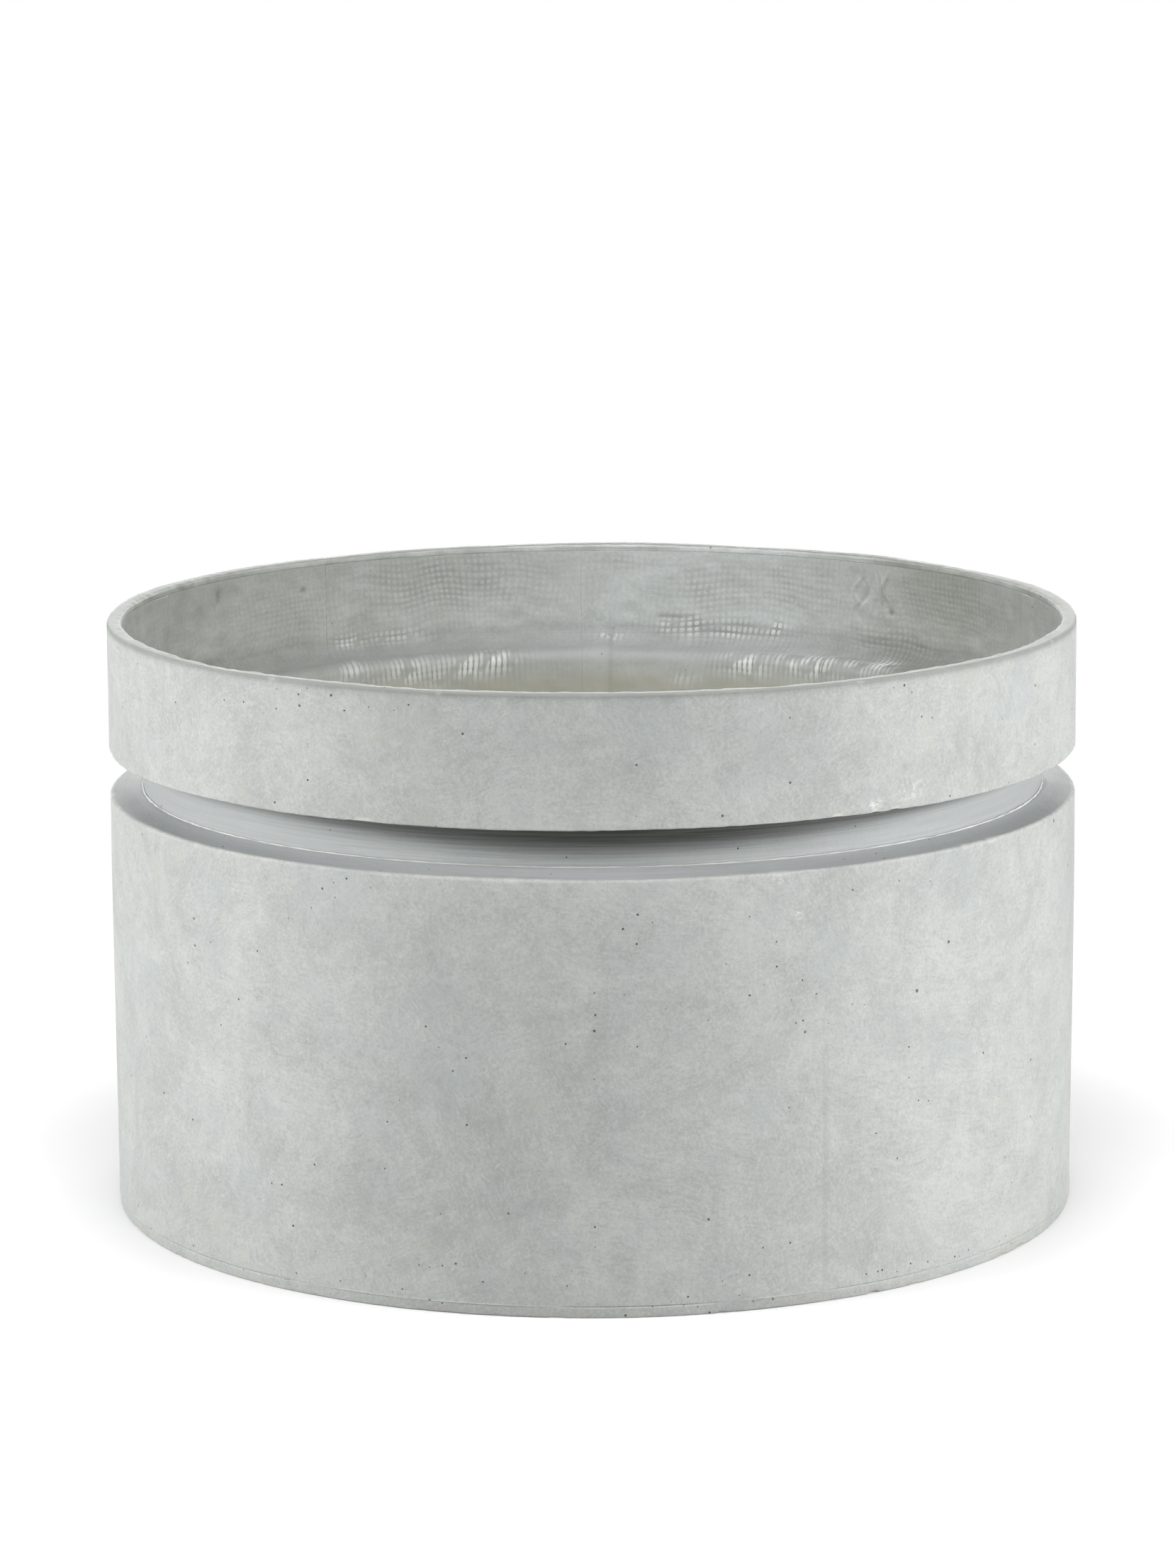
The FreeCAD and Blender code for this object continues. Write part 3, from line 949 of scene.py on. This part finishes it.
class Finish(Nodes):
    """Material of a piece: its colour grows in coats, over noise, strokes and pits."""

    def __init__(self, name, gloss):
        super().__init__(bpy.data.materials.new(name))
        self.shader = self.tree.nodes["Principled BSDF"]
        self.fill(self.shader.inputs["Specular IOR Level"], gloss)
        self.place = self.add("ShaderNodeTexCoord").outputs["Object"]
        self.colour = None

    def unrolled(self):
        """Places on the skin of a piece, unrolled."""
        return self.add("ShaderNodeUVMap", uv_map=UNROLLED).outputs[0]

    def total(self, *weighted):
        """Sum of sockets, each with its weight."""
        running = 0.0
        for socket, weight in weighted:
            node = self.add("ShaderNodeMath", {0: socket, 1: weight, 2: running}, operation="MULTIPLY_ADD")
            running = node.outputs[0]
        return running

    def noise(self, size, detail, roughness, at=None, distortion=0.0):
        sockets = {"Vector": at or self.place, "Scale": 1 / size, "Distortion": distortion}
        sockets |= {"Detail": detail, "Roughness": roughness}
        return self.add("ShaderNodeTexNoise", sockets).outputs["Fac"]

    def warped(self, at, size, amount):
        """Places shifted by noise, so that strokes wander."""
        noise = self.add("ShaderNodeTexNoise", {"Vector": self.place, "Scale": 1 / size, "Detail": 2.0})
        sockets = {0: noise.outputs["Color"], 1: (0.5,) * 3}
        centred = self.add("ShaderNodeVectorMath", sockets, operation="SUBTRACT")
        sockets = {0: centred.outputs[0], 1: (amount,) * 3, 2: at}
        return self.add("ShaderNodeVectorMath", sockets, operation="MULTIPLY_ADD").outputs[0]

    def streaks(self, at, length, width, turn, detail=2.0):
        """Noise drawn out into strokes of a length and a width, turned by an angle."""
        sockets = {"Vector": at, "Rotation": (0, 0, math.radians(turn)), "Scale": (length, width, 1)}
        stretched = self.add("ShaderNodeMapping", sockets, vector_type="TEXTURE").outputs[0]
        return self.noise(1, detail, 0.6, at=stretched)

    def mix(self, share, first, second, blend="MIX"):
        sockets = {0: share, 6: first, 7: second}
        return self.add("ShaderNodeMix", sockets, data_type="RGBA", blend_type=blend).outputs[2]

    def attribute(self, name):
        return self.add("ShaderNodeAttribute", attribute_name=name).outputs["Fac"]

    def coat(self, where, strength, colour):
        """Lays a colour over the rest, where a socket or an attribute of the mesh says, at a strength."""
        share = self.attribute(where) if isinstance(where, str) else where
        self.colour = self.mix(self.times(share, strength), self.colour, colour)

    def pits(self, cell, radius, share):
        """Round pits of mixed sizes, at most one in each cell, in a share of the cells."""
        sockets = {"Vector": self.unrolled(), "Scale": 1 / cell}
        cells = self.add("ShaderNodeTexVoronoi", sockets, feature="F1", voronoi_dimensions="2D")
        lot = self.add("ShaderNodeSeparateColor", {0: cells.outputs["Color"]})
        size = self.total((lot.outputs[1], radius / cell), (1.0, radius / cell / 3))
        inside = self.rise(self.math("DIVIDE", cells.outputs["Distance"], size), 1.0, 0.6)
        return self.times(inside, self.math("LESS_THAN", lot.outputs[0], share))

    def finish(self, roughness, *layers):
        """Material with its colour, roughness and chain of bumps, each a height and its depth in metres."""
        normal = None
        for height, depth in layers:
            sockets = {"Height": height, "Distance": depth, "Strength": 1.0}
            if normal is not None:
                sockets["Normal"] = normal
            normal = self.add("ShaderNodeBump", sockets).outputs[0]
        self.fill(self.shader.inputs["Base Color"], self.colour)
        self.fill(self.shader.inputs["Roughness"], roughness)
        self.fill(self.shader.inputs["Normal"], normal)
        return self.owner


# Slurry tones, dark and light, where it is grey and where it is pale. Painted light and shade then change
# its brightness by the distance down from the rim: darker below the rim, lighter down the wall, darker in
# the cove, lighter on the neck.
SLURRY_GREY = (tone(150, 152, 146), tone(173, 175, 169))
SLURRY_PALE = (tone(188, 192, 191), tone(210, 214, 214))
PAINTED_LIGHT_AT_RIM = 0.93
PAINTED_LIGHT_AT_FOOT = 1.2
PAINTED_SHADE_IN_COVE = 0.48
PAINTED_LIGHT_ON_NECK = 1.72
WALL_DOWN = (0, 0.068)
COVE_DOWN = (0.058, 0.085)
NECK_DOWN = (0.103, 0.118)


def slurry_colour(n, shade):
    """Grey slurry, with pale smears on the far side that are partly painted light."""
    pale = n.mix(shade, *SLURRY_PALE)
    grey = n.mix(shade, *SLURRY_GREY)
    return n.mix(n.attribute("pale"), grey, pale)


# Cement tones: brushed faces, dark and light, with cool and warm tints and pale scuffs
BRUSHED = (tone(171, 174, 172), tone(202, 205, 202))
COOL_TINT = tone(180, 186, 189)
WARM_TINT = tone(193, 193, 185)
SCUFF_TONE = tone(218, 220, 218)

# Groove and ledge, dark and light, the ledge's paler tones being painted light, and the pinholes
GROOVE_TONES = (tone(178, 183, 184), tone(196, 200, 200))
LEDGE_PAINTED_LIGHT_TONES = (tone(189, 194, 196), tone(209, 213, 214))
PINHOLE_TONE = tone(70, 70, 66)


def brushed_strokes(n, wandering, cloud, where):
    """Brush strokes that slant, stand steep or lie level from place to place."""
    slanted = n.streaks(wandering, length=0.024, width=0.0018, turn=24)
    steep = n.streaks(wandering, length=0.02, width=0.0016, turn=112)
    level = n.streaks(wandering, length=0.03, width=0.002, turn=-8)
    brushed = n.mix(n.rise(where, 0.42, 0.58), slanted, steep)
    return n.mix(n.rise(cloud, 0.45, 0.6), brushed, level)


def tinted_scuffs(n, wandering, where):
    """Tints the brushed cement and scratches it, and returns the scratches."""
    tint = n.noise(size=0.08, detail=5, roughness=0.75)
    n.coat(n.rise(tint, 0.52, 0.68), 0.4, COOL_TINT)
    n.coat(n.rise(tint, 0.46, 0.33), 0.4, WARM_TINT)
    rising = n.streaks(wandering, length=0.035, width=0.0011, turn=40)
    falling = n.streaks(wandering, length=0.03, width=0.001, turn=-55)
    scratches = n.rise(n.mix(n.rise(tint, 0.45, 0.55), rising, falling), 0.6, 0.7)
    scuffs = n.times(scratches, n.rise(where, 0.47, 0.6))
    n.coat(scuffs, 0.45, SCUFF_TONE)
    return scuffs


def groove_and_rim(n, blotch):
    """Smoother groove, paler ledge and inner corner as painted light, painted shade on the sides and the rim
    top, painted shadow at the top of the neck and along the arris, the lip and the grout line.
    """
    level = n.streaks(n.unrolled(), length=0.12, width=0.0018, turn=0, detail=3)
    strokes = n.rise(level, 0.35, 0.65)
    n.coat("groove", 0.75, n.mix(strokes, *GROOVE_TONES))
    # Paler ledge: painted light on its upward face
    n.coat("ledge", 0.75, n.mix(strokes, *LEDGE_PAINTED_LIGHT_TONES))
    # Painted light in the ledge's inner corner, by the neck
    n.coat("painted_corner_light", 0.8, tone(236, 239, 239))
    # Painted shade on the sides of the groove and the ledge, away from the front
    n.coat("painted_side_shade", 1.0, tone(164, 167, 167))
    # Painted shadow of the band on the top of the neck, deepest at the front
    n.coat("painted_band_shadow", n.rise(strokes, 0, 1, 0.98, 0.92), tone(54, 55, 51))
    # Painted shade on the rim's top face
    n.coat("rim", 0.8, tone(126, 128, 123))
    shade = n.rise(blotch, 0.35, 0.65)
    # Painted shadow line along the rim's outer arris
    n.coat("arris", n.rise(blotch, 0.35, 0.65, 0.7, 0.4), tone(142, 144, 140))
    # Lip in the slurry's colour, with the painted shade that the slurry has at the rim
    n.coat("lip", 1.0, n.mix(1.0, slurry_colour(n, shade), (PAINTED_LIGHT_AT_RIM,) * 3 + (1.0,), "MULTIPLY"))
    n.coat("grout", 0.9, tone(230, 231, 228))


def wear_and_pinholes(n, blotch, speckle):
    """Worn edges, chips, dirt, the mould's seam and pinholes, and returns the pinholes."""
    n.coat("worn", n.rise(blotch, 0.4, 0.6, 0.1, 0.6), tone(210, 211, 207))
    n.coat("chipped", 0.75, tone(228, 225, 212))
    n.coat("scuffed", n.rise(speckle, 0.5, 0.6), tone(232, 232, 226))
    n.coat("dirt", n.rise(blotch, 0.46, 0.66, 0.0, 0.25), tone(150, 139, 126))
    n.coat("seam", 0.25, tone(150, 152, 150))
    crowd = n.rise(n.noise(size=0.075, detail=2, roughness=0.5), 0.52, 0.7, 0.018, 0.16)
    crowd = n.total((n.attribute("pitted"), 0.6), (n.attribute("worn"), 0.08), (crowd, 1.0))
    fine_pits = n.pits(cell=0.011, radius=0.0009, share=crowd)
    large_pits = n.pits(cell=0.034, radius=0.0012, share=n.times(crowd, 0.7))
    pits = n.math("MAXIMUM", fine_pits, large_pits)
    n.coat(pits, 0.85, PINHOLE_TONE)
    return pits


def cement_material():
    """Light grey cement brushed by hand: clouds, blotches, strokes, pinholes and pale worn edges."""
    n = Finish("BrushedCement", gloss=0.2)
    cloud = n.noise(size=0.22, detail=3, roughness=0.6)
    blotch = n.noise(size=0.06, detail=5, roughness=0.8, distortion=0.6)
    speckle = n.noise(size=0.009, detail=4, roughness=0.85)
    grain = n.noise(size=0.0025, detail=2, roughness=0.8)
    where = n.noise(size=0.09, detail=2, roughness=0.5)
    wandering = n.warped(n.unrolled(), size=0.03, amount=0.02)
    brushed = brushed_strokes(n, wandering, cloud, where)
    shade = n.total((cloud, 0.16), (blotch, 0.31), (speckle, 0.17), (grain, 0.26), (brushed, 0.15))
    n.colour = n.mix(n.rise(shade, 0.4, 0.66), *BRUSHED)
    scuffs = tinted_scuffs(n, wandering, where)
    groove_and_rim(n, blotch)
    pits = wear_and_pinholes(n, blotch, speckle)
    rough = n.total((blotch, 0.22), (n.attribute("groove"), -0.08), (n.math("ADD", scuffs, 1.0), 0.48))
    relief = [(blotch, 0.0006), (speckle, 0.0003), (brushed, 0.00012), (grain, 0.00008)]
    return n.finish(rough, *relief, (n.math("SUBTRACT", 1.0, pits), 0.0006))


# Cloth tones: yarn in the gaps and on top, where the slurry is grey and where it is pale, and marks on it:
# painted light on the neck, painted shade in the dents and the gaps of the glass, and white glass that is
# partly a painted highlight
YARN_GREY = (tone(130, 132, 127), tone(180, 183, 178))
YARN_PALE = (tone(160, 163, 161), tone(212, 216, 215))
NECK_LIGHT_TONE = tone(214, 216, 210)
STAIN_TONE = tone(196, 194, 178)
GLASS_TONE = tone(250, 251, 249)
GAP_SHADE_TONE = tone(128, 130, 125)
CLOTH_PIT_TONE = tone(104, 103, 96)
CLOTH_GLOSS = 0.4
NECK_LIGHT_DOWN = (0.1, 0.116)
STAIN_DOWN = (0.116, 0.134)


def painted_light_by_depth(n, down):
    """Painted light and shade: brightness of the slurry by the distance down from the rim."""
    wall = n.rise(down, *WALL_DOWN, PAINTED_LIGHT_AT_RIM, PAINTED_LIGHT_AT_FOOT)
    cove = n.rise(down, *COVE_DOWN, 1, PAINTED_SHADE_IN_COVE)
    neck = n.rise(down, *NECK_DOWN, 1, PAINTED_LIGHT_ON_NECK)
    return n.times(wall, n.times(cove, neck))


def cloth_material():
    """Glass cloth set in cement slurry: shiny pale yarns where bare, smeared grey elsewhere."""
    n = Finish("GlassClothLining", CLOTH_GLOSS)
    weave = n.attribute("weave")
    bare = n.attribute("bare")
    down = n.attribute("down")
    cloud = n.noise(size=0.11, detail=4, roughness=0.6)
    smear = n.streaks(n.unrolled(), length=0.04, width=0.014, turn=20, detail=3)
    grain = n.noise(size=0.003, detail=3, roughness=0.75)
    shade = n.rise(n.total((cloud, 0.25), (smear, 0.25), (grain, 0.5)), 0.33, 0.67)
    n.colour = slurry_colour(n, shade)
    pale_yarn = n.mix(weave, *YARN_PALE)
    yarn = n.mix(n.times(n.attribute("pale"), 0.7), n.mix(weave, *YARN_GREY), pale_yarn)
    n.coat(bare, 0.7, yarn)
    # Painted light on the neck of the lining
    n.coat(n.rise(down, *NECK_LIGHT_DOWN), 0.35, NECK_LIGHT_TONE)
    # Painted shade in the dents
    n.coat("dent", 0.55, tone(96, 97, 92))
    n.coat(n.rise(down, *STAIN_DOWN), n.rise(cloud, 0.35, 0.6, 0.1, 0.8), STAIN_TONE)
    # Painted light and shade by the distance down from the rim
    n.colour = n.mix(1.0, n.colour, painted_light_by_depth(n, down), "MULTIPLY")
    open_glass = n.attribute("glass")
    glass = n.times(open_glass, n.rise(weave, 0.2, 0.6))
    # White glass yarn: partly its own colour, partly a painted highlight
    n.coat(glass, 1.0, GLASS_TONE)
    # Painted shade in the gaps between the glass yarns
    n.coat(n.math("SUBTRACT", open_glass, glass), 0.45, GAP_SHADE_TONE)
    pits = n.pits(cell=0.014, radius=0.0007, share=n.rise(cloud, 0.45, 0.65, 0.01, 0.12))
    n.coat(pits, 0.6, CLOTH_PIT_TONE)
    gloss = n.times(n.times(bare, weave), n.rise(smear, 0.35, 0.6))
    rough = n.total((gloss, -0.3), (glass, -0.2), (shade, 0.15), (n.math("ADD", grain, 1.0), 0.36))
    n.fill(n.shader.inputs["Specular IOR Level"], n.rise(glass, 0, 1, CLOTH_GLOSS, 1.0))
    return n.finish(rough, (smear, 0.0003), (grain, 0.00012), (n.math("SUBTRACT", 1.0, pits), 0.0005))


RUBBER_TONE = tone(46, 47, 48)
DUST_TONE = tone(128, 127, 121)


def rubber_material():
    """Dark grey moulded rubber with dust in its grain."""
    n = Finish("MouldedRubber", gloss=0.5)
    grain = n.noise(size=0.0015, detail=3, roughness=0.7)
    dust = n.noise(size=0.02, detail=4, roughness=0.65)
    n.colour = n.mix(n.rise(dust, 0.45, 0.7, 0, 0.5), RUBBER_TONE, DUST_TONE)
    rough = n.total((dust, 0.4), (grain, 0.15), (n.math("ADD", grain, 1.0), 0.25))
    return n.finish(rough, (grain, 0.0002), (dust, 0.0002))


def dress_bung(material):
    """The bung keeps its solid from the frame and gets its rubber."""
    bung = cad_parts["drain_bung"]
    bung.data.materials.clear()
    bung.data.materials.append(material)


# Floor: its glow for the camera and its tone in the pot's shadow, both close to the pot, and its bounce
FLOOR_SIZE = 80.0
NEAR_REACH = 0.55
FAR_REACH = 1.5
NEAR_GLOW = 0.25
NEAR_SHADE = 0.74
FLOOR_BOUNCE = tone(128, 128, 128)
WHITE = (1, 1, 1, 1)
AMBIENT = 0.02

# Soft boxes: name, place, size, watts
SOFT_BOXES = [
    ("FrontHigh", (0, -2.22, 3.14), (2.4, 1.6), 36),
    ("FrontLow", (0, -3.4, 0.8), (3.0, 0.8), 16),
    ("LeftLow", (-2.3, -1.0, 0.4), (2.0, 0.7), 29),
    ("RightLow", (2.3, -1.0, 0.4), (2.0, 0.7), 40),
    ("LeftFar", (-4.41, -1.18, 2.33), (2.0, 1.2), 48),
    ("RightFar", (4.6, -1.23, 1.76), (2.0, 1.2), 58),
    ("LeftSide", (-2.4, 0, 0.5), (1.6, 0.8), 13),
    ("BackBox", (0, 2.8, 1.0), (2.4, 1.2), 60),
    ("Overhead", (0, -0.38, 2.6), (0.8, 0.5), 33),
]
AIM_OF_LIGHT = Vector((0, 0, 0.3))


def choose_by_view(n, output, lighting, seen):
    """Shows one shader to camera, glossy and transmission rays, and lights the pot by another."""
    light_path = n.add("ShaderNodeLightPath")
    looking = light_path.outputs["Is Camera Ray"]
    for name in ("Is Glossy Ray", "Is Transmission Ray"):
        looking = n.math("MAXIMUM", looking, light_path.outputs[name])
    sockets = {0: looking, 1: lighting.outputs[0], 2: seen.outputs[0]}
    choice = n.add("ShaderNodeMixShader", sockets)
    n.add(output, {"Surface": choice.outputs[0]})


def floor_material():
    """White floor that glows for the camera and takes the pot's soft shadow close to it."""
    n = Nodes(bpy.data.materials.new("StudioFloor"))
    n.tree.nodes.clear()
    place = n.add("ShaderNodeTexCoord").outputs["Object"]
    distance = n.add("ShaderNodeVectorMath", {0: place}, operation="LENGTH").outputs["Value"]
    brightness = n.rise(distance, NEAR_REACH, FAR_REACH, NEAR_GLOW, 1)
    glow = n.add("ShaderNodeEmission", {"Strength": brightness})
    shade = n.add("ShaderNodeBsdfDiffuse", {"Color": n.rise(distance, NEAR_REACH, FAR_REACH, NEAR_SHADE, 0)})
    both = n.add("ShaderNodeAddShader", {0: glow.outputs[0], 1: shade.outputs[0]})
    bounce = n.add("ShaderNodeBsdfDiffuse", {"Color": FLOOR_BOUNCE})
    choose_by_view(n, "ShaderNodeOutputMaterial", bounce, both)
    return n.owner


def studio_floor():
    """Wide floor under the pot."""
    half = FLOOR_SIZE / 2
    corners = [(-half, -half, 0), (half, -half, 0), (half, half, 0), (-half, half, 0)]
    mesh = bpy.data.meshes.new("StudioFloor")
    mesh.from_pydata(corners, [], [(0, 1, 2, 3)])
    mesh.materials.append(floor_material())
    made = bpy.data.objects.new("StudioFloor", mesh)
    bpy.context.scene.collection.objects.link(made)


def studio_world():
    """White to the camera, plain soft light to the pot."""
    n = Nodes(bpy.data.worlds.new("Studio"))
    n.tree.nodes.clear()
    white = n.add("ShaderNodeBackground", {"Color": WHITE})
    soft = n.add("ShaderNodeBackground", {"Color": WHITE, "Strength": AMBIENT})
    choose_by_view(n, "ShaderNodeOutputWorld", soft, white)
    bpy.context.scene.world = n.owner


def soft_boxes():
    """Large soft lamps over the pot and low on both sides."""
    for name, place, size, watts in SOFT_BOXES:
        lamp = bpy.data.lights.new(name, "AREA")
        lamp.shape = "RECTANGLE"
        lamp.size, lamp.size_y = size
        lamp.energy = watts
        made = bpy.data.objects.new(name, lamp)
        made.location = place
        made.rotation_euler = (AIM_OF_LIGHT - Vector(place)).to_track_quat("-Z", "Y").to_euler()
        made.visible_camera = False
        bpy.context.scene.collection.objects.link(made)


# Camera fitted to the photograph's outlines
CAMERA_PLACE = Vector((0, -4.2963, 1.1649))
CAMERA_AIM = Vector((-0.00415, 0, 0.3427))
CAMERA_ROLL = math.radians(-0.314)
CAMERA_LENS = 120.66
CAMERA_SENSOR = 36.0
CAMERA_REACH = 300.0


def photo_camera():
    """Camera at the photograph's place, slightly rolled."""
    ahead = (CAMERA_AIM - CAMERA_PLACE).normalized()
    level = ahead.cross(Vector((0, 0, 1))).normalized()
    upright = level.cross(ahead)
    right = level * math.cos(CAMERA_ROLL) + upright * math.sin(CAMERA_ROLL)
    above = upright * math.cos(CAMERA_ROLL) - level * math.sin(CAMERA_ROLL)
    camera = bpy.data.cameras.new("PhotoCamera")
    camera.sensor_width = CAMERA_SENSOR
    camera.lens = CAMERA_LENS
    camera.clip_end = CAMERA_REACH
    made = bpy.data.objects.new("PhotoCamera", camera)
    turned = Matrix((right, above, -ahead)).transposed().to_4x4()
    made.matrix_world = Matrix.Translation(CAMERA_PLACE) @ turned
    bpy.context.scene.collection.objects.link(made)
    bpy.context.scene.camera = made


cement = cement_material()
glass_cloth = cloth_material()
upper_collar(cement)
lower_drum(cement)
base_slab(cement)
neck_grout(cement)
cloth_lining(glass_cloth)
floor_cloth(glass_cloth)
dress_bung(rubber_material())
studio_floor()
studio_world()
soft_boxes()
photo_camera()
bpy.context.scene.view_settings.view_transform = "Standard"
